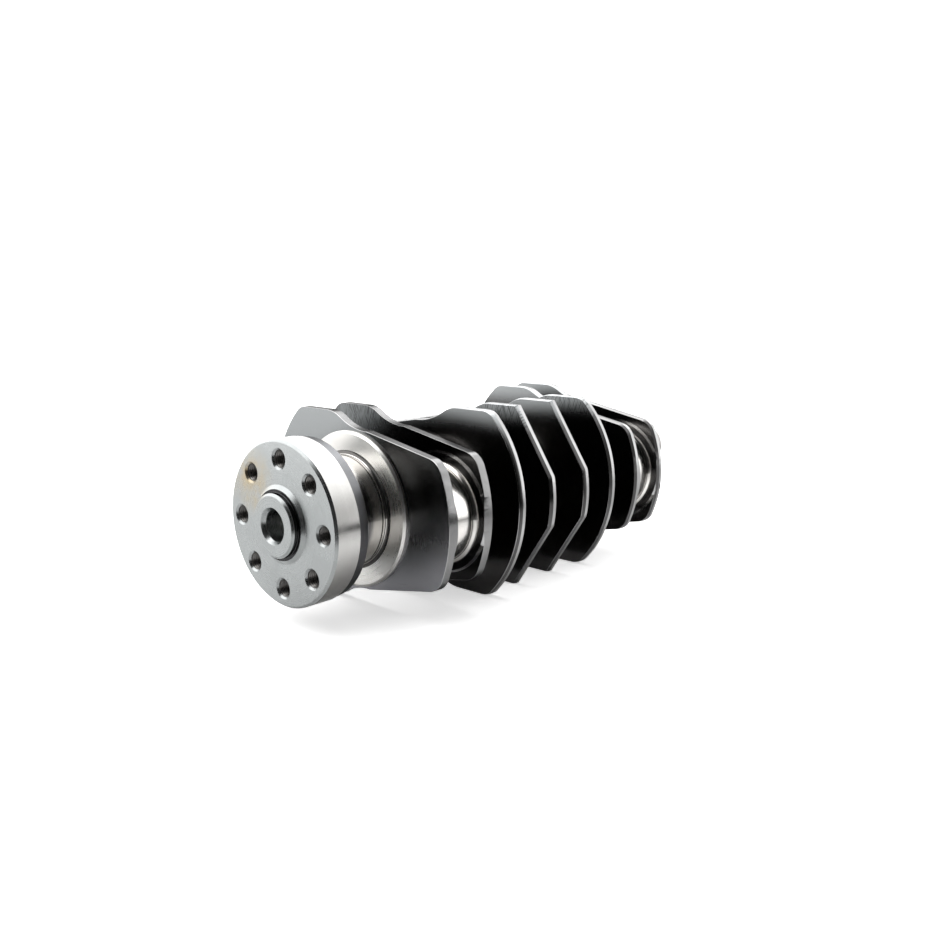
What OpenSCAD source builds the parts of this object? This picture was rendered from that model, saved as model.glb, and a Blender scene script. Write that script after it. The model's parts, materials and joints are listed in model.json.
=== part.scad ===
// Crankshaft for a flat four-cylinder car engine. It lies along Y, with its flywheel face at
// Y = 0 and its nose towards +Y. Crankpins 1 and 4 are towards +X, and crankpins 2 and 3
// towards -X. Cylinders and main bearings are numbered from the nose.

/* [Throws] */
// Distance from the crank axis to each crankpin axis, half of the piston stroke
crank_throw = 39.5; // [38:0.1:41]
// Diameter of the main journals
main_d = 60; // [56:0.5:62]
// Diameter of the crankpins
pin_d = 52; // [48:0.5:53]
// Clear width between the two webs of one throw
pin_gap = 21.8; // [19:0.1:26]
// Clear width between the webs beside main journals 2 and 4
main_gap = 22.4; // [19:0.1:27]
// Clear width between the webs beside the centre main journal
centre_gap = 26.6; // [22:0.1:32]
// Length of the running surface of the front main journal
front_main_len = 20; // [16:0.1:26]
// Length of the rear main journal, from the flange to the thrust collar
rear_main_len = 23.5; // [20:0.1:28]

/* [Webs] */
// Thickness of each web
web_t = 5.1; // [4.5:0.1:7]
// Wall between each crankpin and the round end of its webs
pin_wall = 5.5; // [4:0.1:12]
// Radius swept by the counterweights of webs 3 to 6
fan_r = 71; // [66:0.5:85]
// Radius swept by the counterweights of webs 1 and 8
end_tail_r = 67.2; // [62:0.2:85]
// Radius swept by the counterweights of webs 2 and 7
inner_tail_r = 65.8; // [62:0.2:85]
// Half of the height of the counterweights, between their two flats
flat_half = 52; // [47:0.5:56]
// Half of the height of the webs at their waist
waist_half = 42.8; // [40:0.1:44]
// Half of the height of the webs beside the crankpin
cheek_half = 35.3; // [33:0.1:37]
// Height of the round hub pad around each journal and crankpin
pad_h = 1.2; // [0.6:0.1:2]
// How much wider than its journal the foot of each hub pad is, measured on the radius
pad_lip = 6.8; // [5:0.1:8]
// Half of the outer edge that is left on the two trimmed counterweights
trim_half = 12; // [8:0.5:30]

/* [Flywheel end] */
// Outer diameter of the flange, where the rear oil seal runs
flange_d = 86; // [82:0.5:90]
// Thickness of the flange
flange_t = 21.3; // [19.5:0.1:26]
// Length of the flange's full-diameter band
flange_band = 15; // [10:0.5:16]
// Distance from the flange's rim to the centres of the flywheel bolt holes
bolt_rim = 9.75; // [8:0.05:12]
// Number of flywheel bolt holes
bolt_count = 8; // [4:1:8]
// Pitch diameter of the thread in the flywheel bolt holes
bolt_d = 9.2; // [7:0.1:10]
// Depth of the full thread in the flywheel bolt holes
bolt_depth = 15; // [10:0.5:16]
// Diameter of the spigot that centres the flywheel
spigot_d = 33; // [30:0.5:36]
// How far the spigot stands out of the flange
spigot_len = 5.2; // [5:0.1:10]
// Diameter of the bore in the spigot
rear_bore_d = 16.2; // [10:0.2:20]
// Outer diameter of the thrust collar
collar_d = 84.6; // [78:0.2:88]
// Thickness of the thrust collar
collar_t = 2.6; // [2:0.1:5]

/* [Nose] */
// Diameter of the oil pump drive
pump_d = 38; // [36:0.5:40]
// Distance across the two flats of the oil pump drive
pump_flats = 32; // [28:0.5:34]
// Length of the oil pump drive
pump_len = 14; // [10:0.5:20]
// Diameter of the front oil seal's journal
seal_d = 34; // [33:0.5:35]
// Length of the front oil seal's journal
seal_len = 14; // [10:0.5:20]
// Diameter of the timing sprocket's seat
sprocket_d = 31; // [30:0.5:32]
// Length of the timing sprocket's seat
sprocket_len = 34; // [30:0.5:40]
// Diameter of the pulley's seat
pulley_d = 29; // [27:0.5:29.5]
// Length of the pulley's seat
pulley_len = 14; // [12:0.5:24]
// Pitch diameter of the thread for the pulley bolt
nose_thread_d = 13; // [10:0.1:15]
// Depth of the thread for the pulley bolt, from the nose
nose_thread_depth = 34; // [26:0.5:40]
// Width of the sprocket key
key_w = 6; // [4:0.5:7]
// Diameter of the round cutter that sinks the keyway
key_d = 22; // [19:0.5:24]
// Height of the sprocket key
key_h = 9; // [7:0.5:10]
// How far the key stands out of its seat
key_proud = 2.6; // [2:0.1:3.2]

/* [Oil holes] */
// Diameter of the oil holes in the main journals
main_oil_d = 6; // [4:0.5:8]
// Diameter of the oil holes in the crankpins
pin_oil_d = 5; // [4:0.5:7]

/* [Hidden] */
$fn = 144;
eps = 0.01;
main_r = main_d / 2;
pin_r = pin_d / 2;
cheek_r = crank_throw + pin_r + pin_wall;   // radius swept by the crankpin ends of the webs
bolt_circle_r = flange_d / 2 - bolt_rim;
fillet_r = 2.5;      // rolled fillet at each end of a journal
fillet_sink = 0.4;   // how far that fillet cuts below the journal
oil_depth = 14;
edge = 0.8;          // chamfer of the shoulders and seats
flange_edge = 1.3;   // chamfer of the flange's face
spigot_foot_r = spigot_d / 2 + 3.8;   // flared foot of the spigot
spigot_root = 1;     // how deep the spigot's foot is let into the flange
pin_flat_end = 20;   // where the flats end on webs 1, 2, 7 and 8, from the crank axis
fan_flat_end = 25.5; // where the flats end on webs 3 to 6
throat_round = 20;   // rounding at the top of the throat
throat_hollow = 40;  // hollow at the bottom of the throat
sink = 0.05;         // how far a rounding is sunk, so that its ends cross the next edge cleanly
lap = 0.5;           // how far a straight edge runs past the start of its rounding
steel = [0.74, 0.74, 0.76];
ground = [0.86, 0.86, 0.88];
forged = [0.2, 0.2, 0.22];

// Where each section starts along the shaft, from the flywheel end
rear_main_y = flange_t;
collar_y = rear_main_y + rear_main_len;
web_8_y = collar_y + collar_t;
web_7_y = web_8_y + web_t + pin_gap;
web_6_y = web_7_y + web_t + main_gap;
web_5_y = web_6_y + web_t + pin_gap;
web_4_y = web_5_y + web_t + centre_gap;
web_3_y = web_4_y + web_t + pin_gap;
web_2_y = web_3_y + web_t + main_gap;
web_1_y = web_2_y + web_t + pin_gap;
front_main_y = web_1_y + web_t + pad_h;
pump_y = front_main_y + front_main_len;
seal_y = pump_y + pump_len;
sprocket_y = seal_y + seal_len;
pulley_y = sprocket_y + sprocket_len;
nose_y = pulley_y + pulley_len;

front = 1;    // crankpins 1 and 4 lie towards +X
back = -1;    // crankpins 2 and 3 lie towards -X

// Stands a shape that was drawn along Z on the shaft instead, starting at y
module on_shaft(y, x = 0) {
    translate([x, y, 0]) rotate([-90, 0, 0]) children();
}

// A blind drilling along Z from z = 0 down, with a coned mouth and a coned tip
module drilling(d, depth, mouth = 1) {
    translate([0, 0, -depth]) cylinder(d = d, h = depth + 1);
    translate([0, 0, -depth - d * 0.3]) cylinder(d1 = 0, d2 = d, h = d * 0.3);
    translate([0, 0, -mouth]) cylinder(d1 = d, d2 = d + 2 * mouth + 0.4, h = mouth + 0.2);
}

// The rolled fillet's cut, a ring around an end of a journal. side is 1 at its far end.
module fillet_ring(r, y, side) {
    translate([0, 0, y - side * fillet_r])
        rotate_extrude() translate([r + fillet_r - fillet_sink, 0]) circle(r = fillet_r, $fn = 48);
}

// A journal or crankpin with a rolled fillet at each end that has a web or flange
module journal(r, len, fillet_start = true, fillet_end = true) {
    lip_r = r + fillet_r - fillet_sink;
    difference() {
        union() {
            cylinder(r = r, h = len);
            if (fillet_start) cylinder(r = lip_r, h = fillet_r);
            if (fillet_end) translate([0, 0, len - fillet_r]) cylinder(r = lip_r, h = fillet_r);
        }
        if (fillet_start) fillet_ring(r, 0, -1);
        if (fillet_end) fillet_ring(r, len, 1);
    }
}

// Half a wedge of angle a to each side of +X, used to keep part of a disc
module wedge_2d(r, a) {
    reach = 2 * r;
    polygon([[0, 0], [reach * cos(a), -reach * sin(a)], [reach * cos(a), reach * sin(a)]]);
}

// Where the throat of a web meets its waist, for a flat that ends at x = -flat_end
function throat_x(flat_end) =
    sqrt(pow(throat_round + throat_hollow, 2)
        - pow(waist_half + throat_hollow - flat_half + throat_round, 2)) - flat_end;

// The part of a web that carries the crankpin, towards +X: two sloping flanks and a round end
module cheek_2d(knee_x) {
    corner_r = 11;
    end_x = crank_throw + 11.5;
    slope = atan2(waist_half - cheek_half, end_x - knee_x);
    // The corner circle meets both the flank and the round end
    flank_c = waist_half * cos(slope) + knee_x * sin(slope);
    reach = cheek_r - corner_r + sink;
    corner_at = 90 - slope - acos((flank_c - corner_r - sink) / reach);
    corner = reach * [cos(corner_at), sin(corner_at)];
    flank_end = corner + (corner_r + sink) * [sin(slope), cos(slope)] + lap * [cos(slope), -sin(slope)];
    intersection() {
        circle(r = cheek_r);
        wedge_2d(cheek_r, corner_at);
    }
    for (side = [-1, 1]) translate([corner[0], side * corner[1]]) circle(r = corner_r);
    polygon([
        [0, -waist_half], [knee_x, -waist_half], [flank_end[0], -flank_end[1]],
        [corner[0], -corner[1]], [corner[0], corner[1]],
        [flank_end[0], flank_end[1]], [knee_x, waist_half], [0, waist_half]
    ]);
}

// The counterweight, towards -X: a fan with two flats, which end at x = -flat_end.
// The two webs beside the centre journal have the fan's corners trimmed straight.
module counterweight_2d(tail_r, flat_end, trimmed) {
    corner_r = 10;
    corner_z = flat_half - corner_r - sink;
    corner_x = sqrt(pow(tail_r - corner_r + sink, 2) - pow(corner_z, 2));
    shoulder_x = 45;
    flat_start = trimmed ? shoulder_x + lap : corner_x + lap;
    difference() {
        union() {
            rotate(180) intersection() {
                circle(r = tail_r);
                wedge_2d(tail_r, atan2(corner_z, corner_x));
            }
            for (side = [-1, 1]) translate([-corner_x, side * corner_z]) circle(r = corner_r);
            translate([-flat_start, -flat_half])
                square([flat_start - flat_end + lap, 2 * flat_half]);
        }
        if (trimmed) for (side = [-1, 1])
            trim_2d([-shoulder_x, side * flat_half], [-tail_r, side * trim_half]);
    }
}

// What is cut off outside the straight line from a to b
module trim_2d(a, b) {
    over = (a - b) * 0.2;
    polygon([a + over, b - over, b - over + [-30, 0], [b[0] - 30, a[1] + over[1]]]);
}

// The curve that leads from the counterweight's flat down to the waist, rounded then hollow
module throat_2d(flat_end) {
    low_x = throat_x(flat_end);
    hollow_z = waist_half + throat_hollow;
    round_z = flat_half - throat_round;
    bend_z = round_z + (hollow_z - round_z) * throat_round / (throat_round + throat_hollow);
    for (side = [-1, 1]) translate([-flat_end, side * (round_z - sink)]) circle(r = throat_round);
    difference() {
        translate([-flat_end, -bend_z]) square([low_x + flat_end, 2 * bend_z]);
        for (side = [-1, 1])
            translate([low_x, side * (hollow_z - sink)]) circle(r = throat_hollow);
    }
}

// A whole web, drawn with its crankpin towards +X
module web_2d(tail_r, flat_end, trimmed) {
    cheek_2d(throat_x(flat_end));
    counterweight_2d(tail_r, flat_end, trimmed);
    throat_2d(flat_end);
}

// A web from y, with hub pads on its flywheel side (near) and its nose side (far).
// Each pad is "pin", "main" or "none".
module web(y, toward, near, far, tail_r = fan_r, flat_end = fan_flat_end, trimmed = false) {
    color(forged) translate([0, y, 0]) mirror([toward < 0 ? 1 : 0, 0, 0]) {
        translate([0, web_t, 0]) rotate([90, 0, 0])
            linear_extrude(web_t) web_2d(tail_r, flat_end, trimmed);
        // The pads never reach past the web's own outline
        intersection() {
            translate([0, web_t + pad_h, 0]) rotate([90, 0, 0])
                linear_extrude(web_t + 2 * pad_h) web_2d(tail_r, flat_end, trimmed);
            union() {
                hub_pad(near, 0, -1);
                hub_pad(far, web_t, 1);
            }
        }
    }
}

// A low cone around a journal's end, from a web's face at y outwards along side
module hub_pad(kind, y, side) {
    x = kind == "pin" ? crank_throw : 0;
    foot_r = (kind == "pin" ? pin_r : main_r) + pad_lip;
    if (kind != "none") translate([x, y, 0]) rotate([-90 * side, 0, 0])
        cylinder(r1 = foot_r, r2 = foot_r - pad_h, h = pad_h);
}

// A crankpin between two webs; y is the flywheel-side web's far face
module crankpin(y, toward) {
    len = pin_gap - 2 * pad_h;
    color(ground) on_shaft(y + pad_h, toward * crank_throw) difference() {
        journal(pin_r, len);
        translate([0, 0, len / 2]) rotate([0, 0, toward > 0 ? 105 : 75])
            rotate([0, 90, 0]) translate([0, 0, pin_r]) drilling(pin_oil_d, oil_depth, 0.8);
    }
}

// A main journal between two webs; y is the flywheel-side web's far face
module main_journal(y, gap) {
    main_body(y + pad_h, gap - 2 * pad_h);
}

module main_body(y, len, fillet_end = true) {
    color(ground) on_shaft(y) difference() {
        journal(main_r, len, true, fillet_end);
        translate([0, 0, len / 2]) rotate([0, 0, 110])
            rotate([0, 90, 0]) translate([0, 0, main_r]) drilling(main_oil_d, oil_depth, 1);
    }
}

// Flywheel end
module flywheel_spigot() {
    bevel = 1.2;
    foot_h = 1.8;
    mouth = 2.2;
    color(steel) on_shaft(-spigot_len) difference() {
        union() {
            cylinder(d1 = spigot_d - 2 * bevel, d2 = spigot_d, h = bevel);
            translate([0, 0, bevel]) cylinder(d = spigot_d, h = spigot_len - bevel);
            translate([0, 0, spigot_len - foot_h])
                cylinder(r1 = spigot_foot_r - 2.2, r2 = spigot_foot_r, h = foot_h);
            translate([0, 0, spigot_len]) cylinder(r = spigot_foot_r, h = spigot_root);
        }
        translate([0, 0, -1]) cylinder(d = rear_bore_d, h = spigot_len + spigot_root + 2);
        translate([0, 0, -eps]) cylinder(d1 = rear_bore_d + 3, d2 = rear_bore_d, h = mouth);
    }
}

module flywheel_flange() {
    back_d = flange_d - 1.6;
    color(steel) on_shaft(0) difference() {
        union() {
            cylinder(d1 = flange_d - 2 * flange_edge, d2 = flange_d, h = flange_edge);
            translate([0, 0, flange_edge]) cylinder(d = flange_d, h = flange_band - flange_edge);
            translate([0, 0, flange_band])
                cylinder(d1 = flange_d - 0.4, d2 = back_d, h = flange_t - flange_band - edge);
            translate([0, 0, flange_t - edge]) cylinder(d1 = back_d, d2 = back_d - 2 * edge, h = edge);
        }
        translate([0, 0, -1]) cylinder(r = spigot_foot_r, h = 1 + spigot_root);
        translate([0, 0, -1]) cylinder(d = rear_bore_d, h = flange_t + 2);
        for (i = [0 : bolt_count - 1]) rotate([0, 0, i * 360 / bolt_count])
            translate([bolt_circle_r, 0, 0]) mirror([0, 0, 1]) drilling(bolt_d, bolt_depth, 0.4);
    }
}

module thrust_collar() {
    bevel = 1.2;
    color(ground) on_shaft(collar_y) {
        cylinder(d1 = collar_d - 2 * bevel, d2 = collar_d, h = bevel);
        translate([0, 0, bevel]) cylinder(d = collar_d, h = collar_t - bevel);
    }
}

// Main journals
module main_journal_5() {
    difference() {
        main_body(rear_main_y, rear_main_len);
        on_shaft(rear_main_y - eps) cylinder(d1 = rear_bore_d, d2 = 0, h = rear_bore_d * 0.3);
    }
}
module main_journal_4() main_journal(web_7_y + web_t, main_gap);
module main_journal_3() main_journal(web_5_y + web_t, centre_gap);
module main_journal_2() main_journal(web_3_y + web_t, main_gap);
module main_journal_1() main_body(front_main_y, front_main_len, false);

// Crankpins
module crankpin_4() crankpin(web_8_y + web_t, front);
module crankpin_3() crankpin(web_6_y + web_t, back);
module crankpin_2() crankpin(web_4_y + web_t, back);
module crankpin_1() crankpin(web_2_y + web_t, front);

// Webs
module web_8() web(web_8_y, front, "none", "pin", end_tail_r, pin_flat_end);
module web_7() web(web_7_y, front, "pin", "main", inner_tail_r, pin_flat_end);
module web_6() web(web_6_y, back, "main", "pin");
module web_5() web(web_5_y, back, "pin", "main", trimmed = true);
module web_4() web(web_4_y, back, "main", "pin", trimmed = true);
module web_3() web(web_3_y, back, "pin", "main");
module web_2() web(web_2_y, front, "main", "pin", inner_tail_r, pin_flat_end);
module web_1() web(web_1_y, front, "pin", "main", end_tail_r, pin_flat_end);

// Nose
module oil_pump_drive() {
    color(steel) on_shaft(pump_y) difference() {
        cylinder(d = pump_d, h = pump_len);
        for (side = [-1, 1]) translate([side * (pump_flats / 2 + 10), 0, pump_len / 2 + 1.5])
            cube([20, 2 * pump_d, pump_len], center = true);
    }
}

module front_seal_journal() {
    color(ground) on_shaft(seal_y) {
        cylinder(d = seal_d, h = seal_len - edge);
        translate([0, 0, seal_len - edge]) cylinder(d1 = seal_d, d2 = seal_d - 2 * edge, h = edge);
    }
}

// The space that the key fills: the round cutter's disc, on the side towards +Z
module key_disc() {
    translate([-key_w / 2, sprocket_y + sprocket_len * 0.4, sprocket_d / 2 + key_proud - key_h + key_d / 2])
        rotate([0, 90, 0]) cylinder(d = key_d, h = key_w);
}

module sprocket_seat() {
    color(steel) difference() {
        on_shaft(sprocket_y) {
            cylinder(d = sprocket_d, h = sprocket_len - edge);
            translate([0, 0, sprocket_len - edge])
                cylinder(d1 = sprocket_d, d2 = sprocket_d - 2 * edge, h = edge);
        }
        key_disc();
        on_shaft(nose_y) drilling(nose_thread_d, nose_thread_depth);
    }
}

module sprocket_key() {
    color(steel) intersection() {
        key_disc();
        translate([-key_w, sprocket_y, 0])
            cube([2 * key_w, sprocket_len, sprocket_d / 2 + key_proud]);
    }
}

module pulley_seat() {
    color(steel) on_shaft(pulley_y) difference() {
        union() {
            cylinder(d = pulley_d, h = pulley_len - edge);
            translate([0, 0, pulley_len - edge])
                cylinder(d1 = pulley_d, d2 = pulley_d - 2 * edge, h = edge);
        }
        translate([0, 0, pulley_len]) drilling(nose_thread_d, nose_thread_depth, 1.5);
    }
}

flywheel_spigot();
flywheel_flange();
thrust_collar();
main_journal_5();
main_journal_4();
main_journal_3();
main_journal_2();
main_journal_1();
crankpin_4();
crankpin_3();
crankpin_2();
crankpin_1();
web_8();
web_7();
web_6();
web_5();
web_4();
web_3();
web_2();
web_1();
oil_pump_drive();
front_seal_journal();
sprocket_seat();
pulley_seat();
sprocket_key();
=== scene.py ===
import json
import math
import bpy
import bmesh
from mathutils import Matrix, Vector


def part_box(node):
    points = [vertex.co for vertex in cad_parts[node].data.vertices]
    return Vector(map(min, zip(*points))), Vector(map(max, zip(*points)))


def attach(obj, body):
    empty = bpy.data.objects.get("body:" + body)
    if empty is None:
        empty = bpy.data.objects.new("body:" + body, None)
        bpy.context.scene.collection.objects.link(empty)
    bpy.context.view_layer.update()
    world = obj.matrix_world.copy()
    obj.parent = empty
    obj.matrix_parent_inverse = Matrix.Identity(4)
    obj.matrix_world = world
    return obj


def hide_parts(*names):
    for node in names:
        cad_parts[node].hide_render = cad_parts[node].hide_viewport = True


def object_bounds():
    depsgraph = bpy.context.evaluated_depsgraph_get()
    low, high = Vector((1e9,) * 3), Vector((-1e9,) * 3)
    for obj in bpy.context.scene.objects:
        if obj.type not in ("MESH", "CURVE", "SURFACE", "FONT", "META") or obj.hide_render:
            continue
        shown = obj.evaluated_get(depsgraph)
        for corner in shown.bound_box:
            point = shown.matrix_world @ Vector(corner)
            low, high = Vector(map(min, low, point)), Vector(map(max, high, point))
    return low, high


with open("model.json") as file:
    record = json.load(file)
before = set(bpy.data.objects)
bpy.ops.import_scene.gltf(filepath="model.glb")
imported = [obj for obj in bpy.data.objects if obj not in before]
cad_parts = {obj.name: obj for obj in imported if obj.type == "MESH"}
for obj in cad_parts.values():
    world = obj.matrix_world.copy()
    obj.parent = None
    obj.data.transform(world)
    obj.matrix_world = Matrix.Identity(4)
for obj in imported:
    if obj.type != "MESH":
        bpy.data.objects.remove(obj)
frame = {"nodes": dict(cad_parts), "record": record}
cadLow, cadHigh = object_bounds()
nodes = frame["nodes"]
mounts = {mount["name"]: mount.get("dims") for mount in frame["record"]["mounts"]}
mm = 0.001
print("frame loaded:", len(nodes), "CAD nodes")


def put(tree, kind, sets=None, **props):  # a node with its properties, and its sockets set or linked
    made = tree.nodes.new("ShaderNode" + kind)
    for key, value in props.items():
        setattr(made, key, value)
    for key, value in (sets or {}).items():
        if isinstance(value, bpy.types.NodeSocket):
            tree.links.new(value, made.inputs[key])
        else:
            made.inputs[key].default_value = value
    return made


def calc(tree, operation, a, b=0.0, c=0.0):
    return put(tree, "Math", {0: a, 1: b, 2: c}, operation=operation).outputs[0]


def times(tree, a, b):
    return calc(tree, "MULTIPLY", a, b)


def vector(tree, operation, a, b=(0, 0, 0)):  # vector maths that gives a vector
    return put(tree, "VectorMath", {0: a, 1: b}, operation=operation).outputs["Vector"]


def measure(tree, operation, a, b=(0, 0, 0)):  # vector maths that gives a number
    return put(tree, "VectorMath", {0: a, 1: b}, operation=operation).outputs["Value"]


def turnAboutY(tree, place, angle):
    return put(tree, "VectorRotate", {"Vector": place, "Angle": angle}, rotation_type="Y_AXIS").outputs[0]


def ramp(tree, value, start, full, low=0.0, high=1.0, shape="SMOOTHSTEP"):
    sets = {0: value, 1: start, 2: full, 3: low, 4: high}
    return put(tree, "MapRange", sets, interpolation_type=shape).outputs[0]


cameraSetup = {
    "lens": 35.516,
    "sensor": 36,
    "clip": (0.01, 20),
    "place": (0.36724, -0.26795, 0.11273),
    "right": (0.74095, 0.67156, 0.0),
    "up": (-0.12265, 0.13532, 0.98318),
}


def makeCamera(setup):
    data = bpy.data.cameras.new("studioCamera")
    data.lens = setup["lens"]
    data.sensor_width = setup["sensor"]
    data.clip_start, data.clip_end = setup["clip"]
    camera = bpy.data.objects.new("studioCamera", data)
    bpy.context.scene.collection.objects.link(camera)
    right, up = Vector(setup["right"]).normalized(), Vector(setup["up"]).normalized()
    turn = Matrix((right, up, right.cross(up))).transposed().to_4x4()
    camera.matrix_world = Matrix.Translation(setup["place"]) @ turn
    bpy.context.scene.camera = camera


# the paper is white to the eye; in the steel's reflections it is painted dark on the camera's side and dim in
# a wide ring, a painted shade that only the steel mirrors
floorSetup = {
    "size": 6.0,
    "middle": 0.17,
    "colour": (0.93, 0.93, 0.93, 1),
    "rough": 0.6,
    "specular": 0.3,
    "glow": 0.55,
    "darkCentre": (0, 0.15, 0),
    "darkTowards": (0.86, -0.5, 0),
    "darkTurn": (0.3, 0.55),
    "darkPast": (0.2, 0.34),
    "ringIn": (0.1, 0.2),
    "ringOut": (0.5, 0.85),
    "ringLoss": 0.42,
}


def floorLoss(tree, place, setup):  # the share of the paper's light that the steel doesn't mirror: painted shade in the reflections only
    level = vector(tree, "MULTIPLY", vector(tree, "SUBTRACT", place, setup["darkCentre"]), (1, 1, 0))
    far = measure(tree, "LENGTH", level)
    ahead = measure(tree, "DOT_PRODUCT", vector(tree, "NORMALIZE", level), setup["darkTowards"])
    front = times(tree, ramp(tree, ahead, *setup["darkTurn"]), ramp(tree, far, *setup["darkPast"]))
    inner = ramp(tree, far, *setup["ringIn"])
    outer = ramp(tree, far, *setup["ringOut"], 1.0, 0.0)
    ring = times(tree, times(tree, inner, outer), setup["ringLoss"])
    return calc(tree, "MAXIMUM", front, ring)


def makePaper(setup):
    mat = bpy.data.materials.new("whitePaper")
    mat.use_nodes = True
    tree = mat.node_tree
    shader = tree.nodes["Principled BSDF"]
    shader.inputs["Base Color"].default_value = setup["colour"]
    shader.inputs["Roughness"].default_value = setup["rough"]
    shader.inputs["Specular IOR Level"].default_value = setup["specular"]
    shader.inputs["Emission Color"].default_value = (1, 1, 1, 1)
    place = tree.nodes.new("ShaderNodeTexCoord").outputs["Object"]
    mirrored = tree.nodes.new("ShaderNodeLightPath").outputs["Is Glossy Ray"]
    glow = times(tree, calc(tree, "SUBTRACT", 1.0, mirrored), setup["glow"])
    tree.links.new(glow, shader.inputs["Emission Strength"])
    black = put(tree, "Emission", {"Strength": 0.0})
    # painted shade: on glossy rays the paper turns black by this share
    loss = times(tree, floorLoss(tree, place, setup), mirrored)
    mix = put(tree, "MixShader", {0: loss, 1: shader.outputs[0], 2: black.outputs[0]})
    tree.links.new(mix.outputs[0], tree.nodes["Material Output"].inputs["Surface"])
    return mat


def makeFloor(setup):
    bm = bmesh.new()
    bmesh.ops.create_grid(bm, x_segments=1, y_segments=1, size=setup["size"] / 2)
    bmesh.ops.translate(bm, verts=bm.verts, vec=(0, setup["middle"], cadLow.z))
    mesh = bpy.data.meshes.new("studioFloor")
    bm.to_mesh(mesh)
    bm.free()
    mesh.materials.append(makePaper(setup))
    floor = bpy.data.objects.new("studioFloor", mesh)
    bpy.context.scene.collection.objects.link(floor)


# the light tent is white all round, with a dark opening on the camera's side that only the steel mirrors
tentSetup = {
    "colour": (1, 1, 1, 1),
    "bright": 2.0,
    "dark": 0.01,
    "darkTowards": (0.85, -0.5, 0.15),
    "darkTurn": (0.2, 0.5),
}


def makeTent(setup):
    world = bpy.data.worlds.new("lightTent")
    bpy.context.scene.world = world
    world.use_nodes = True
    tree = world.node_tree
    tree.nodes.clear()
    way = tree.nodes.new("ShaderNodeTexCoord").outputs["Generated"]
    facing = measure(tree, "DOT_PRODUCT", way, Vector(setup["darkTowards"]).normalized())
    light = ramp(tree, facing, *setup["darkTurn"], setup["bright"], setup["dark"])
    tent = put(tree, "Background", {"Color": setup["colour"], "Strength": light})
    plain = put(tree, "Background", {"Color": setup["colour"], "Strength": setup["bright"]})
    direct = tree.nodes.new("ShaderNodeLightPath").outputs["Is Camera Ray"]
    pick = put(tree, "MixShader", {0: direct, 1: tent.outputs[0], 2: plain.outputs[0]})
    put(tree, "OutputWorld", {"Surface": pick.outputs[0]})


# each softbox: where it stands, where it points, its two sides and its power
softboxes = {
    "topBox": {"place": (-0.25, 0.35, 0.95), "aim": (0, 0.17, 0), "size": (1.2, 1.2), "power": 7},
    "backBox": {"place": (-0.3, 1.1, 0.5), "aim": (0, 0.17, 0), "size": (1.0, 0.7), "power": 5},
}


def makeSoftboxes(boxes):
    for name, setup in boxes.items():
        data = bpy.data.lights.new(name, "AREA")
        data.shape = "RECTANGLE"
        data.size, data.size_y = setup["size"]
        data.energy = setup["power"]
        light = bpy.data.objects.new(name, data)
        bpy.context.scene.collection.objects.link(light)
        light.location = setup["place"]
        aim = Vector(setup["aim"]) - Vector(setup["place"])
        light.rotation_mode = "QUATERNION"
        light.rotation_quaternion = aim.to_track_quat("-Z", "Y")


makeCamera(cameraSetup)
makeFloor(floorSetup)
makeTent(tentSetup)
makeSoftboxes(softboxes)
bpy.context.scene.view_settings.view_transform = "Standard"
print("studio ready")


def noise(tree, place, scale, detail, rough=0.5, distortion=0.0):
    sets = {"Vector": place, "Scale": scale, "Detail": detail, "Roughness": rough, "Distortion": distortion}
    return put(tree, "TexNoise", sets).outputs["Fac"]


def blendColour(tree, amount, first, second):
    mix = put(tree, "Mix", {"Factor": amount}, data_type="RGBA")
    for slot, value in ((6, first), (7, second)):  # the two colour sockets
        if isinstance(value, bpy.types.NodeSocket):
            tree.links.new(value, mix.inputs[slot])
        else:
            mix.inputs[slot].default_value = (*value, 1)
    return mix.outputs[2]


def newGroup(name, inputs, outputs):
    tree = bpy.data.node_groups.new(name, "ShaderNodeTree")
    tree.interface.new_socket("Place", in_out="INPUT", socket_type="NodeSocketVector")
    for label, value in inputs.items():
        tree.interface.new_socket(label, in_out="INPUT", socket_type="NodeSocketFloat").default_value = value
    for label in outputs:
        tree.interface.new_socket(label, in_out="OUTPUT", socket_type="NodeSocketFloat")
    return tree, tree.nodes.new("NodeGroupInput").outputs, tree.nodes.new("NodeGroupOutput").inputs


# scales count from one cutter line to the next, apart from the drift's, which is per metre
lineLook = {"driftScale": 60.0, "drift": 2.0, "fine": 2.5, "fineRough": 0.6, "wideScale": 0.09, "wide": 2.0}


def makeTurningLines(look):  # cutter lines that run round the shaft, on faces and on cylinders alike
    inputs = {"Pitch": 0.25, "Wander": 0.5}
    tree, start, end = newGroup("turningLines", inputs, ["Lines", "Shade"])
    x, y, z = put(tree, "SeparateXYZ", {0: start["Place"]}).outputs
    radius = calc(tree, "SQRT", calc(tree, "ADD", times(tree, x, x), times(tree, z, z)))
    perPitch = calc(tree, "DIVIDE", 1 / mm, start["Pitch"])
    sets = {0: times(tree, radius, perPitch), 1: times(tree, y, perPitch)}
    along = put(tree, "CombineXYZ", sets).outputs[0]
    drift = noise(tree, start["Place"], look["driftScale"], look["drift"])
    moved = put(tree, "CombineXYZ", {2: times(tree, drift, start["Wander"])}).outputs[0]
    place = vector(tree, "ADD", along, moved)
    tree.links.new(noise(tree, place, 1.0, look["fine"], look["fineRough"]), end["Lines"])
    tree.links.new(noise(tree, place, look["wideScale"], look["wide"]), end["Shade"])
    return tree


handlingLook = {
    "smearDetail": 5.0,
    "smearRough": 0.6,
    "smearBend": 0.6,
    "smear": (0.38, 0.66),
    "bendScale": 25.0,
    "bend": 5.0,
    "stretch": (12.0, 1.0, 0.7),
    "scratch": 0.02,
    "pitScale": 900.0,
    "pit": (0.08, 0.2),
}


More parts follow.
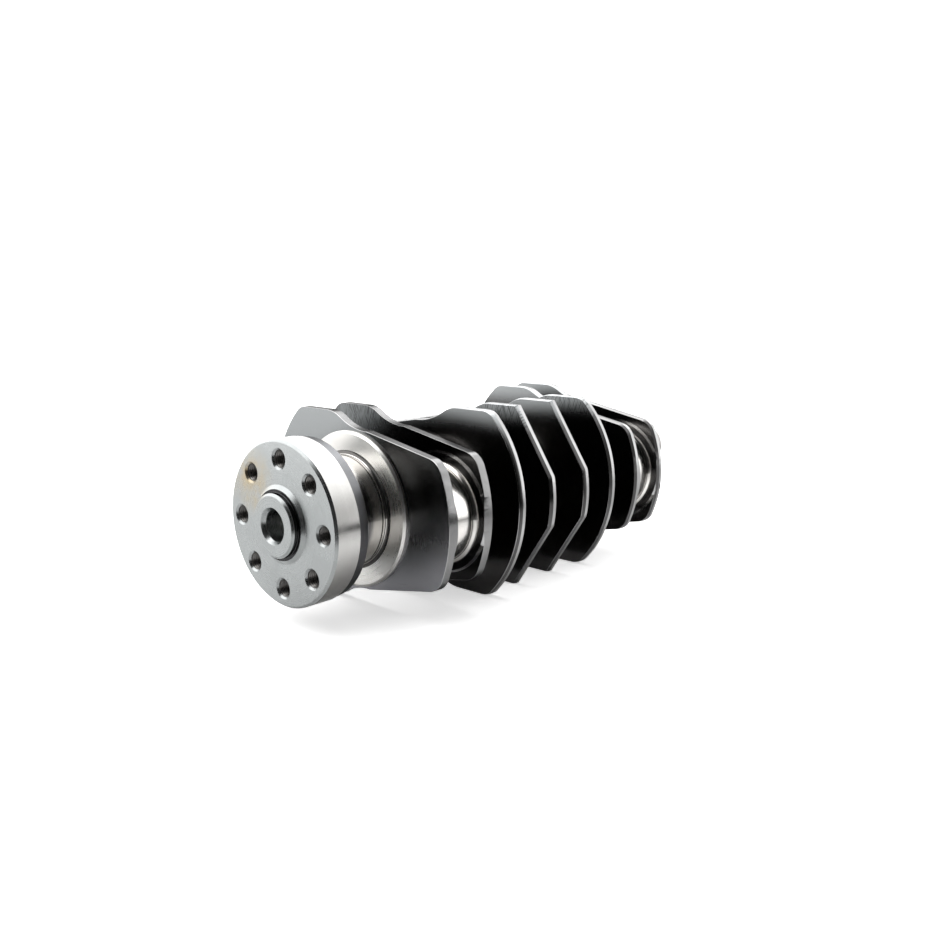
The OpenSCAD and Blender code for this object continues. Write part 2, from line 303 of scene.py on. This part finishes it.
def makeHandling(look):  # oily smears, tiny pits and stray scratches
    inputs = {"Smear Size": 30.0, "Scratch Size": 160.0}
    tree, start, end = newGroup("handlingMarks", inputs, ["Smear", "Scratch", "Pits"])
    place = start["Place"]
    smearSize = start["Smear Size"]
    cloud = noise(tree, place, smearSize, look["smearDetail"], look["smearRough"], look["smearBend"])
    tree.links.new(ramp(tree, cloud, *look["smear"]), end["Smear"])
    angle = times(tree, noise(tree, place, look["bendScale"], 1.0), look["bend"])
    thin = vector(tree, "MULTIPLY", turnAboutY(tree, place, angle), look["stretch"])
    sets = {"Vector": thin, "Scale": start["Scratch Size"]}
    edges = put(tree, "TexVoronoi", sets, feature="DISTANCE_TO_EDGE").outputs["Distance"]
    tree.links.new(ramp(tree, edges, 0.0, look["scratch"], 1.0, 0.0, "LINEAR"), end["Scratch"])
    sets = {"Vector": place, "Scale": look["pitScale"]}
    dots = put(tree, "TexVoronoi", sets, feature="F1").outputs["Distance"]
    tree.links.new(ramp(tree, dots, *look["pit"], 1.0, 0.0, "LINEAR"), end["Pits"])
    return tree


turningLines = makeTurningLines(lineLook)
handlingMarks = makeHandling(handlingLook)


def useGroup(tree, group, sets):
    return put(tree, "Group", sets, node_tree=group).outputs


def newSteel(name, grazing=1.0):  # grazing below 1 darkens the steel where it is seen edge on
    mat = bpy.data.materials.new(name)
    mat.use_nodes = True
    tree = mat.node_tree
    shader = tree.nodes["Principled BSDF"]
    shader.inputs["Metallic"].default_value = 1.0
    shader.inputs["Specular Tint"].default_value = (grazing, grazing, grazing, 1)
    place = tree.nodes.new("ShaderNodeTexCoord").outputs["Object"]
    return mat, tree, shader, place


def finishSteel(tree, shader, colour, rough, height, bump):  # bump holds the strength and the depth in mm
    tree.links.new(colour, shader.inputs["Base Color"])
    tree.links.new(rough, shader.inputs["Roughness"])
    strength, depth = bump
    lift = put(tree, "Bump", {"Height": height, "Strength": strength, "Distance": depth * mm})
    tree.links.new(lift.outputs["Normal"], shader.inputs["Normal"])


def roughOf(tree, pattern, marks, setup):  # the range follows a noise's middle part, and smears are duller
    spread = spreadOf(tree, pattern, *setup["rough"])
    return calc(tree, "ADD", spread, times(tree, marks["Smear"], setup["smearRough"]))


def spreadOf(tree, pattern, low, high):
    return ramp(tree, pattern, 0.3, 0.7, low, high, "LINEAR")


# journals and crankpins: ground, then polished; past "rise" they are dark, partly the rolled fillet's own
# finish and partly painted shade in the corner, and the thin line below it is a painted shadow in the groove
groundSetup = {
    "colour": (0.75, 0.735, 0.71),
    "oily": (0.56, 0.52, 0.48),
    "oilyShare": 0.35,
    "shade": (0.3, 0.3, 0.3),
    "shadeShare": 0.16,
    "rough": (0.11, 0.2),
    "smearRough": 0.05,
    "smearSize": 45.0,
    "pitch": 0.35,
    "wander": 0.6,
    "bump": (0.3, 0.004),
    "rolled": (0.13, 0.125, 0.12),
    "rolledRough": 0.24,
    "rise": (0.1, 0.3),
    "line": 1.0,
    "lineDepth": 0.16,
    "lineWidth": (0.09, 0.13),
}
pinSetup = {
    **groundSetup,
    "colour": (0.88, 0.865, 0.835),
    "oily": (0.7, 0.66, 0.61),
    "rise": (1.3, 1.8),
    "line": 0.35,
}
collarSetup = {
    **groundSetup,
    "colour": (0.96, 0.945, 0.915),
    "oily": (0.84, 0.81, 0.77),
    "rough": (0.25, 0.31),
    "bump": (0.08, 0.004),
}
landSetup = {
    **groundSetup,
    "colour": (0.58, 0.575, 0.56),
    "oily": (0.5, 0.49, 0.47),
    "rough": (0.14, 0.22),
}


def rolledMask(tree, place, setup, radius, axisX):  # where a surface round the axis is off its ground radius: the rolled rise, partly painted shade, and the thin line inside the radius, a painted groove shadow
    level = vector(tree, "MULTIPLY", place, (1, 0, 1))
    gap = calc(tree, "SUBTRACT", measure(tree, "DISTANCE", level, (axisX, 0, 0)), radius)
    start, full = setup["rise"]
    rise = ramp(tree, gap, start * mm, full * mm, shape="LINEAR")
    edge = calc(tree, "ABSOLUTE", calc(tree, "ADD", gap, setup["lineDepth"] * mm))
    inner, outer = setup["lineWidth"]
    line = ramp(tree, edge, inner * mm, outer * mm, setup["line"], 0.0, "LINEAR")
    return calc(tree, "MAXIMUM", rise, line)


def makeGroundSteel(name, setup, radius=None, axisX=0.0):
    mat, tree, shader, place = newSteel(name)
    sets = {"Place": place, "Pitch": setup["pitch"], "Wander": setup["wander"]}
    lines = useGroup(tree, turningLines, sets)
    marks = useGroup(tree, handlingMarks, {"Place": place, "Smear Size": setup["smearSize"]})
    oily = times(tree, marks["Smear"], setup["oilyShare"])
    colour = blendColour(tree, oily, setup["colour"], setup["oily"])
    colour = blendColour(tree, times(tree, lines["Shade"], setup["shadeShare"]), colour, setup["shade"])
    rough = roughOf(tree, lines["Lines"], marks, setup)
    if radius:
        rolled = rolledMask(tree, place, setup, radius, axisX)
        # painted shade: the rise and the groove line take the dark colour
        colour = blendColour(tree, rolled, colour, setup["rolled"])
        rough = calc(tree, "MAXIMUM", rough, times(tree, rolled, setup["rolledRough"]))
    finishSteel(tree, shader, colour, rough, lines["Lines"], setup["bump"])
    return mat


# flange, spigot, nose, threads and key: turned or milled
turnedSetup = {
    "colour": (0.485, 0.505, 0.505),
    "dull": (0.405, 0.425, 0.425),
    "dullShare": 0.5,
    "scratch": (0.6, 0.6, 0.6),
    "scratchShare": 0.25,
    "rough": (0.2, 0.3),
    "smearRough": 0.07,
    "smearSize": 55.0,
    "pitch": 0.3,
    "wander": 0.4,
    "bump": (0.3, 0.004),
    "grazing": 1.0,
    "stain": None,
}
bandSetup = {
    **turnedSetup,
    "colour": (0.17, 0.172, 0.178),
    "dull": (0.14, 0.142, 0.148),
    "rough": (0.25, 0.33),
    "grazing": 0.4,
}
# the step's wall and floor, painted near black: painted shade in the groove
stepShadeSetup = {
    **turnedSetup,
    "colour": (0.07, 0.07, 0.072),
    "dull": (0.055, 0.055, 0.056),
    "rough": (0.16, 0.2),
    "grazing": 0.3,
}
noseSetup = {
    **turnedSetup,
    "colour": (0.36, 0.355, 0.35),
    "dull": (0.27, 0.265, 0.26),
    "grazing": 0.6,
}
threadSetup = {
    **turnedSetup,
    "colour": (0.3, 0.29, 0.28),
    "dull": (0.16, 0.155, 0.15),
    "rough": (0.25, 0.38),
}
keySetup = {
    **turnedSetup,
    "colour": (0.45, 0.44, 0.42),
    "dull": (0.3, 0.29, 0.27),
    "pitch": 0.6,
}
flangeStain = {"colour": (0.56, 0.45, 0.27), "at": (-0.024, 0.0, 0.02), "reach": (0.004, 0.022),
               "scale": 130.0, "detail": 4.0, "share": 0.9}


def addStain(tree, place, colour, stain):  # a faint patch of rust
    away = measure(tree, "DISTANCE", place, stain["at"])
    near = ramp(tree, away, *stain["reach"], 1.0, 0.0)
    cloud = spreadOf(tree, noise(tree, place, stain["scale"], stain["detail"]), 0.0, stain["share"])
    return blendColour(tree, times(tree, near, cloud), colour, stain["colour"])


def makeTurnedSteel(name, setup):
    mat, tree, shader, place = newSteel(name, setup["grazing"])
    sets = {"Place": place, "Pitch": setup["pitch"], "Wander": setup["wander"]}
    lines = useGroup(tree, turningLines, sets)
    marks = useGroup(tree, handlingMarks, {"Place": place, "Smear Size": setup["smearSize"]})
    dull = times(tree, marks["Smear"], setup["dullShare"])
    colour = blendColour(tree, dull, setup["colour"], setup["dull"])
    colour = blendColour(tree, times(tree, marks["Scratch"], setup["scratchShare"]), colour, setup["scratch"])
    if setup["stain"]:
        colour = addStain(tree, place, colour, setup["stain"])
    rough = roughOf(tree, lines["Lines"], marks, setup)
    finishSteel(tree, shader, colour, rough, lines["Lines"], setup["bump"])
    return mat


# web faces: forged, shot and dark; towards the top they are duller, and painted lighter and bluish there, a
# painted sheen
webSetup = {
    "rough": (0.14, 0.19),
    "smearRough": 0.02,
    "smearSize": 28.0,
    "scratchSize": 120.0,
    "smear": 0.14,
    "tint": (1, 0.985, 0.985),
    "wornTint": (1, 0.975, 0.965),
    "topSheenTint": (0.95, 0.99, 1),
    "lowSheenTint": (0.93, 0.93, 1),
    "grain": (2600.0, 200.0, 90.0),
    "grainDetail": 3.0,
    "grainRough": 0.65,
    "pits": 0.5,
    "bump": (0.12, 0.005),
    "low": None,
    "filed": False,
}
darkTones = {"tone": 0.085, "top": 0.5, "topRough": 0.42, "topReach": (0.036, 0.056), "lean": 0.0}
# top and low are the tones of a painted sheen: lighter towards the top on every web, and towards the bottom
# on the faced web
webTones = {
    "facedWebSteel": {
        "tone": 0.07, "top": 0.33, "topRough": 0.06, "topReach": (0.022, 0.054), "lean": -0.5,
        "low": 0.34, "lowRough": 0.22, "lowReach": (0.022, -0.042), "bump": (0.04, 0.005),
    },
    "filedHalfFacedWebSteel": {
        "tone": 0.035, "top": 0.25, "topRough": 0.3, "topReach": (0.036, 0.058), "lean": -0.4, "filed": True,
    },
    "filedDarkWebSteel": {**darkTones, "filed": True},
    "darkWebSteel": darkTones,
}
fileSetup = {
    "from": 0.03,
    "full": 0.044,
    "strokes": ((0.45, 0.0), (-0.3, 3.0)),  # the turn and the seed of each pass of the file
    "stretch": (1500.0, 80.0, 80.0),
    "cut": (0.54, 0.64),
    "depth": 2.2,
    "share": 0.55,
    "colour": (0.02, 0.02, 0.02),
}


def tinted(tone, tint):
    return tuple(tone * part for part in tint)


def fileMask(tree, place, up, setup):  # crossed file marks near the top of a web
    top = ramp(tree, up, setup["from"], setup["full"])
    cuts = 0.0
    for turn, seed in setup["strokes"]:
        turned = turnAboutY(tree, place, turn)
        thin = vector(tree, "MULTIPLY", turned, setup["stretch"])
        sets = {"Vector": thin, "W": seed, "Scale": 1.0, "Detail": 1.0}
        streaks = put(tree, "TexNoise", sets, noise_dimensions="4D").outputs["Fac"]
        cuts = calc(tree, "MAXIMUM", cuts, ramp(tree, streaks, *setup["cut"], shape="LINEAR"))
    return times(tree, cuts, top)


def makeWebSteel(name, setup):
    mat, tree, shader, place = newSteel(name)
    sets = {"Place": place, "Smear Size": setup["smearSize"], "Scratch Size": setup["scratchSize"]}
    marks = useGroup(tree, handlingMarks, sets)
    long = vector(tree, "MULTIPLY", place, setup["grain"])
    grain = noise(tree, long, 1.0, setup["grainDetail"], setup["grainRough"])
    tone = setup["tone"]
    worn = tone * (1 - setup["smear"])
    colour = blendColour(tree, marks["Smear"], tinted(tone, setup["tint"]), tinted(worn, setup["wornTint"]))
    rough = roughOf(tree, grain, marks, setup)
    across, _, up = put(tree, "SeparateXYZ", {0: place}).outputs
    # painted sheen: lighter and bluish towards the top, leaning sideways by lean, and rougher there
    reach = calc(tree, "ADD", up, times(tree, across, setup["lean"]))
    paintedTopSheen = ramp(tree, reach, *setup["topReach"])
    colour = blendColour(tree, paintedTopSheen, colour, tinted(setup["top"], setup["topSheenTint"]))
    rough = calc(tree, "ADD", rough, times(tree, paintedTopSheen, setup["topRough"]))
    # painted sheen: the faced web is also painted lighter and bluish towards the bottom, and rougher there
    if setup["low"]:
        paintedLowSheen = ramp(tree, up, *setup["lowReach"])
        colour = blendColour(tree, paintedLowSheen, colour, tinted(setup["low"], setup["lowSheenTint"]))
        rough = calc(tree, "ADD", rough, times(tree, paintedLowSheen, setup["lowRough"]))
    height = calc(tree, "SUBTRACT", grain, times(tree, marks["Pits"], setup["pits"]))
    if setup["filed"]:
        cuts = fileMask(tree, place, up, fileSetup)
        height = calc(tree, "SUBTRACT", height, times(tree, cuts, fileSetup["depth"]))
        colour = blendColour(tree, times(tree, cuts, fileSetup["share"]), colour, fileSetup["colour"])
    finishSteel(tree, shader, colour, rough, height, setup["bump"])
    return mat


rimSetup = {
    "rough": (0.13, 0.2),
    "smearRough": 0.06,
    "smearSize": 60.0,
    "grain": (300.0, 3500.0, 300.0),
    "grainDetail": 2.0,
    "dull": 0.85,
    "grazing": 0.2,
    "bump": (0.25, 0.005),
}
# the unrelieved webs' rim steel is a darker copy of the rim steel: painted shade
rimTones = {"rimSteel": 0.46, "shadedRimSteel": 0.26, "edgeSteel": 0.5}


def makeRimSteel(name, setup, tone):  # the machined outer edge of the webs, with cutter lines along it
    mat, tree, shader, place = newSteel(name, setup["grazing"])
    marks = useGroup(tree, handlingMarks, {"Place": place, "Smear Size": setup["smearSize"]})
    grain = noise(tree, vector(tree, "MULTIPLY", place, setup["grain"]), 1.0, setup["grainDetail"])
    colour = blendColour(tree, marks["Smear"], (tone,) * 3, (tone * setup["dull"],) * 3)
    rough = roughOf(tree, grain, marks, setup)
    finishSteel(tree, shader, colour, rough, grain, setup["bump"])
    return mat


journalSteel = makeGroundSteel("mainJournalSteel", groundSetup, mounts["main_bearing_1"]["r_mm"] * mm)
collarSteel = makeGroundSteel("collarSteel", collarSetup)
landSteel = makeGroundSteel("sealLandSteel", landSetup)
bandSteel = makeTurnedSteel("flangeBackSteel", bandSetup)
stepShadeSteel = makeTurnedSteel("spigotStepShade", stepShadeSetup)
flangeSteel = makeTurnedSteel("flangeSteel", {**turnedSetup, "stain": flangeStain})
noseSteel = makeTurnedSteel("noseSteel", noseSetup)
threadSteel = makeTurnedSteel("threadSteel", threadSetup)
keySteel = makeTurnedSteel("keySteel", keySetup)
webSteels = {name: makeWebSteel(name, {**webSetup, **tones}) for name, tones in webTones.items()}
rimSteels = {name: makeRimSteel(name, rimSetup, tone) for name, tone in rimTones.items()}
print("materials ready")


def keepPiece(name, bm, mats, smooth):  # smooth is the angle, in degrees, past which an edge is sharp
    mesh = bpy.data.meshes.new(name)
    bmesh.ops.recalc_face_normals(bm, faces=bm.faces)
    for face in bm.faces:
        face.smooth = True
    bm.to_mesh(mesh)
    bm.free()
    mesh.set_sharp_from_angle(angle=math.radians(smooth))
    for mat in mats:
        mesh.materials.append(mat)
    piece = bpy.data.objects.new(name, mesh)
    bpy.context.scene.collection.objects.link(piece)
    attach(piece, "root")
    return piece


def bakeModifiers(piece):
    bpy.context.view_layer.update()
    done = bpy.data.meshes.new_from_object(piece.evaluated_get(bpy.context.evaluated_depsgraph_get()))
    piece.modifiers.clear()
    piece.data = done


def turnProfile(bm, points, centre, steps):  # spins a closed outline of (radius, y), in mm, about Y
    verts = [bm.verts.new((centre[0] + r * mm, y * mm, centre[1])) for r, y in points]
    edges = [bm.edges.new((verts[i - 1], verts[i])) for i in range(len(verts))]
    bmesh.ops.spin(bm, geom=verts + edges, cent=(centre[0], 0, centre[1]), axis=(0, 1, 0), dvec=(0, 0, 0),
                   angle=2 * math.pi, steps=steps, use_merge=True, use_duplicate=False)


def simplify(bm, merge, flat):  # merges doubles, and joins faces that lie within an angle in degrees
    bmesh.ops.remove_doubles(bm, verts=bm.verts, dist=merge * mm)
    bmesh.ops.dissolve_limit(bm, angle_limit=math.radians(flat), verts=bm.verts, edges=bm.edges,
                             use_dissolve_boundaries=False)


def bevelSharp(bm, width, least, segments):  # rounds the outward edges that turn more than least degrees
    bm.normal_update()
    edges = [edge for edge in bm.edges if len(edge.link_faces) == 2 and edge.is_convex
             and edge.calc_face_angle(0) > math.radians(least)]
    bmesh.ops.bevel(bm, geom=edges, offset=width * mm, offset_type="OFFSET", segments=segments,
                    profile=0.5, affect="EDGES", clamp_overlap=True, material=-1)


def radiusOf(point):  # how far a point is from the shaft's axis, in mm
    return math.hypot(point.x, point.z) / mm


# lengths in mm, angles in degrees; "weld" closes slivers, and the relief sets the outline's front edge back
webLook = {
    "merge": 0.001,
    "flat": 0.6,
    "weld": 0.4,
    "sliver": 0.01,
    "edge": 0.3,
    "edgeLeast": 50,
    "segments": 2,
    "edgeWeld": 0.05,
    "relief": 2.6,
    "reliefDepth": 0.5,
    "near": 0.02,
    "darkBand": 2.5,
    "smooth": 30,
}
webFinish = {
    "web_8": "facedWebSteel",
    "web_7": "filedHalfFacedWebSteel",
    "web_5": "filedDarkWebSteel",
    "web_3": "filedDarkWebSteel",
}


def flatLevels(bm):  # the y of a web's two flat faces, in mm: the levels with the most area
    areas = {}
    for face in bm.faces:
        if abs(face.normal.y) > 0.999:
            level = round(face.calc_center_median().y / mm, 2)
            areas[level] = areas.get(level, 0) + face.calc_area()
    return sorted(sorted(areas, key=areas.get)[-2:])


def onRim(edge):  # an outline edge: one face is the flat, the other stands square to it
    tilts = [abs(face.normal.y) for face in edge.link_faces]
    return len(tilts) == 2 and max(tilts) > 0.99 and min(tilts) < 0.1


def relieve(bm, look, front):  # sets the outline back beside the front face
    cut = (front + look["relief"]) * mm
    bmesh.ops.bisect_plane(bm, geom=bm.verts[:] + bm.edges[:] + bm.faces[:], dist=1e-7,
                           plane_co=(0, cut, 0), plane_no=(0, 1, 0))
    bm.normal_update()
    moves = {}
    for edge in bm.edges:
        if onRim(edge) and all(abs(vert.co.y / mm - front) < look["near"] for vert in edge.verts):
            side = min(edge.link_faces, key=lambda face: abs(face.normal.y))
            for vert in edge.verts:
                moves[vert] = moves.get(vert, Vector()) + side.normal
    for vert, way in moves.items():
        way.y = 0
        vert.co -= way.normalized() * look["reliefDepth"] * mm


def webPart(face, front, back, band):  # 0 a face or the band beside it, 1 the rim, 2 a pad, 3 a rounded edge
    y = face.calc_center_median().y / mm
    tilt = abs(face.normal.y)
    if tilt > 0.97:
        return 0
    if not front < y < back:
        return 2
    if tilt > 0.3:
        return 3
    return 0 if y < band else 1


def makeWeb(name, look, relieved):
    bm = bmesh.new()
    bm.from_mesh(nodes[name].data)
    simplify(bm, look["merge"], look["flat"])
    bmesh.ops.remove_doubles(bm, verts=bm.verts, dist=look["weld"] * mm)
    bmesh.ops.dissolve_degenerate(bm, edges=bm.edges, dist=look["sliver"] * mm)
    front, back = flatLevels(bm)
    if relieved:
        relieve(bm, look, front)
    bevelSharp(bm, look["edge"], look["edgeLeast"], look["segments"])
    bmesh.ops.remove_doubles(bm, verts=bm.verts, dist=look["edgeWeld"] * mm)
    bmesh.ops.dissolve_degenerate(bm, edges=bm.edges, dist=look["sliver"] * mm)
    bm.normal_update()
    band = front + look["darkBand"] if relieved else front
    for face in bm.faces:
        face.material_index = webPart(face, front, back, band)
    # the rims of the unrelieved webs take the darker copy: painted shade
    rim = rimSteels["rimSteel" if relieved else "shadedRimSteel"]
    faced = webSteels[webFinish.get(name, "darkWebSteel")]
    mats = [faced, rim, rimSteels["rimSteel"], rimSteels["edgeSteel"]]
    piece = keepPiece(name + "_finished", bm, mats, look["smooth"])
    piece.modifiers.new("evenShading", "WEIGHTED_NORMAL").keep_sharp = True  # large faces shade flat
    bakeModifiers(piece)
    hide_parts(name)


for number in range(8, 0, -1):
    makeWeb(f"web_{number}", webLook, relieved=number <= 6)
print("webs ready")

boltDims = mounts["flywheel_bolts"]
boreRadius = mounts["rear_centre_bore"]["r_mm"]
# lengths in mm, angles in degrees; "land" is how far back the bright seal land reaches, to the darker band
flangeLook = {
    "bevel": 1.3,
    "land": 15.0,
    "landEdge": 0.2,
    "bandDrop": 0.8,
    "backDrop": 1.6,
    "steps": 192,
    "holeMouth": 1.0,
    "holeDepth": 15.0,
    "holePoint": 0.6,
    "holeSteps": 40,
    "margin": 0.1,
    "wallReach": 0.2,
    "merge": 0.002,
    "flat": 0.5,
    "smooth": 30,
}


def boltPlaces():  # x and z of each flywheel bolt, in metres
    reach = boltDims["pcd_mm"] / 2 * mm
    for turn in range(int(boltDims["count"])):
        angle = 2 * math.pi * turn / boltDims["count"]
        yield reach * math.cos(angle), reach * math.sin(angle)


def cutWith(piece, cutter):  # takes the cutter's shape out of the piece for good
    scratch = bpy.data.meshes.new("cutter")
    cutter.to_mesh(scratch)
    cutter.free()
    tool = bpy.data.objects.new("cutter", scratch)
    bpy.context.scene.collection.objects.link(tool)
    job = piece.modifiers.new("cut", "BOOLEAN")
    job.operation, job.object, job.solver = "DIFFERENCE", tool, "EXACT"
    bakeModifiers(piece)
    bpy.data.objects.remove(tool)


def boltHoleCutter(look):
    cutter = bmesh.new()
    radius = boltDims["hole_r_mm"]
    for place in boltPlaces():
        turnProfile(cutter, [
            (0.0, -1), (radius + look["holeMouth"] + 1, -1), (radius, look["holeMouth"]),
            (radius, look["holeDepth"]), (0.0, look["holeDepth"] + radius * look["holePoint"]),
        ], place, look["holeSteps"])
    bmesh.ops.remove_doubles(cutter, verts=cutter.verts, dist=look["merge"] / 2 * mm)
    bmesh.ops.recalc_face_normals(cutter, faces=cutter.faces)
    return cutter


def flangePart(face, look, outer):  # 0 the turned faces, 1 the seal land, 2 the band, 3 a hole's wall
    middle = face.calc_center_median()
    if radiusOf(middle) > outer - look["backDrop"] - look["margin"] and abs(face.normal.y) < 0.5:
        return 1 if middle.y / mm < look["land"] - look["margin"] else 2
    nearest = min(math.hypot(middle.x - x, middle.z - z) for x, z in boltPlaces()) / mm
    inHole = nearest < boltDims["hole_r_mm"] + look["wallReach"]
    return 3 if inHole and middle.y / mm > look["holeMouth"] - look["margin"] else 0


def makeFlange(look):
    flangeHigh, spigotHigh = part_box("flywheel_flange")[1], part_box("flywheel_spigot")[1]
    outer, thick = flangeHigh.x / mm, flangeHigh.y / mm
    foot, root = spigotHigh.x / mm, spigotHigh.y / mm
    bevel, land = look["bevel"], look["land"]
    bm = bmesh.new()
    turnProfile(bm, [
        (boreRadius, root), (foot, root), (foot, 0), (outer - bevel, 0), (outer, bevel),
        (outer, land - look["landEdge"]), (outer - look["landEdge"], land),
        (outer - look["bandDrop"], thick - look["bandDrop"]), (outer - look["backDrop"], thick),
        (boreRadius, thick),
    ], (0, 0), look["steps"])
    mats = [flangeSteel, landSteel, bandSteel, threadSteel]
    piece = keepPiece("flange_turned", bm, mats, look["smooth"])
    cutWith(piece, boltHoleCutter(look))
    bm = bmesh.new()
    bm.from_mesh(piece.data)
    for face in bm.faces:
        face.material_index = flangePart(face, look, outer)
    simplify(bm, look["merge"], look["flat"])
    bm.to_mesh(piece.data)
    bm.free()
    piece.data.set_sharp_from_angle(angle=math.radians(look["smooth"]))
    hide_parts("flywheel_flange")


# lengths in mm, angles in degrees; the step is the groove between the spigot's side and the flange
spigotLook = {
    "mouth": (1.5, 2.2),
    "bevel": 1.2,
    "step": 1.8,
    "stepCorner": (0.25, 0.15),  # across and deep
    "stepWall": 2.3,
    "lip": 0.02,
    "edge": 0.12,
    "edgeLeast": 30,
    "segments": 2,
    "steps": 144,
    "darkPast": 1.3,
    "darkInside": 0.3,
    "darkOutside": 1.9,
    "smooth": 30,
}


def makeSpigot(look):
    low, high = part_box("flywheel_spigot")
    tip, foot, root = low.y / mm, high.x / mm, high.y / mm
    side = mounts["flywheel_spigot"]["r_mm"]
    mouthWide, mouthDeep = look["mouth"]
    cornerWide, cornerDeep = look["stepCorner"]
    bevel, step, wall = look["bevel"], look["step"], foot - look["stepWall"]
    bm = bmesh.new()
    turnProfile(bm, [
        (boreRadius, root), (boreRadius, tip + mouthDeep), (boreRadius + mouthWide, tip),
        (side - bevel, tip), (side, tip + bevel), (side, -step - cornerDeep), (side + cornerWide, -step),
        (wall, -step), (wall + cornerWide, -step + cornerDeep), (foot, -look["lip"]), (foot, root),
    ], (0, 0), look["steps"])
    bevelSharp(bm, look["edge"], look["edgeLeast"], look["segments"])
    bmesh.ops.recalc_face_normals(bm, faces=bm.faces)
    for face in bm.faces:  # only the wall and the floor of the step are dark, a painted shade in the groove
        middle = face.calc_center_median()
        inStep = side - look["darkInside"] < radiusOf(middle) < foot - look["darkOutside"]
        if inStep and middle.y / mm > tip + look["darkPast"]:
            face.material_index = 1
    piece = keepPiece("spigot_turned", bm, [flangeSteel, stepShadeSteel], look["smooth"])
    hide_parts("flywheel_spigot")


# lengths in mm, each thread's start and end measured from the mouth of its hole
boltThread = {
    "crest": 0.38,
    "sunk": 0.04,
    "start": 1.6,
    "end": 14.2,
    "pitch": 1.25,
    "flank": 0.42,
    "steps": 24,
    "smooth": 25,
}
noseThread = {**boltThread, "crest": 0.45, "sunk": 0.05, "start": 2.8, "end": 31.5, "pitch": 1.5, "steps": 32}


def makeThread(name, look, place, radius, mouth, inward):  # a helical ridge that stands on a hole's wall
    start, travel = mouth + inward * look["start"], inward * (look["end"] - look["start"])
    crest, root, half = radius - look["crest"], radius + look["sunk"], look["pitch"] * look["flank"]
    turns = abs(travel) / look["pitch"]
    count = int(turns * look["steps"])
    bm = bmesh.new()
    corners = ((root, -half), (crest, 0), (root, half))
    verts = [bm.verts.new((place[0] + r * mm, (start + dy) * mm, place[1])) for r, dy in corners]
    face = bm.faces.new(verts)
    bmesh.ops.spin(bm, geom=[face] + face.edges[:] + face.verts[:], cent=(place[0], 0, place[1]),
                   axis=(0, 1, 0), dvec=(0, travel * mm / count, 0), angle=2 * math.pi * turns,
                   steps=count, use_merge=False, use_duplicate=False)
    keepPiece(name, bm, [threadSteel], look["smooth"])


makeFlange(flangeLook)
makeSpigot(spigotLook)
for number, place in enumerate(boltPlaces(), 1):
    makeThread(f"flange_thread_{number}", boltThread, place, boltDims["hole_r_mm"], 0, 1)
noseEnd = round(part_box("pulley_seat")[1].y / mm, 3)
makeThread("nose_thread", noseThread, (0, 0), mounts["pulley_bolt_thread"]["r_mm"], noseEnd, -1)
print("flange ready")


def dress(name, mat):
    for slot in nodes[name].material_slots:
        slot.material = mat


pinSteels = {}


def pinSteel(name):  # the crankpins on one side share a finish
    low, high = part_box(name)
    axisX = round((low.x + high.x) / 2, 5)
    label = "crankpinSteel_" + ("front" if axisX > 0 else "back")
    if label not in pinSteels:
        radius = mounts[name.replace("crankpin", "rod_bearing")]["r_mm"] * mm
        pinSteels[label] = makeGroundSteel(label, pinSetup, radius, axisX)
    return pinSteels[label]


for name in nodes:
    if name.startswith("main_journal"):
        dress(name, journalSteel)
    elif name.startswith("crankpin"):
        dress(name, pinSteel(name))
    elif name in ("thrust_collar", "front_seal_journal"):
        dress(name, collarSteel)
    elif name == "sprocket_key":
        dress(name, keySteel)
    elif not name.startswith("web"):
        dress(name, noseSteel)
print("finishes ready")
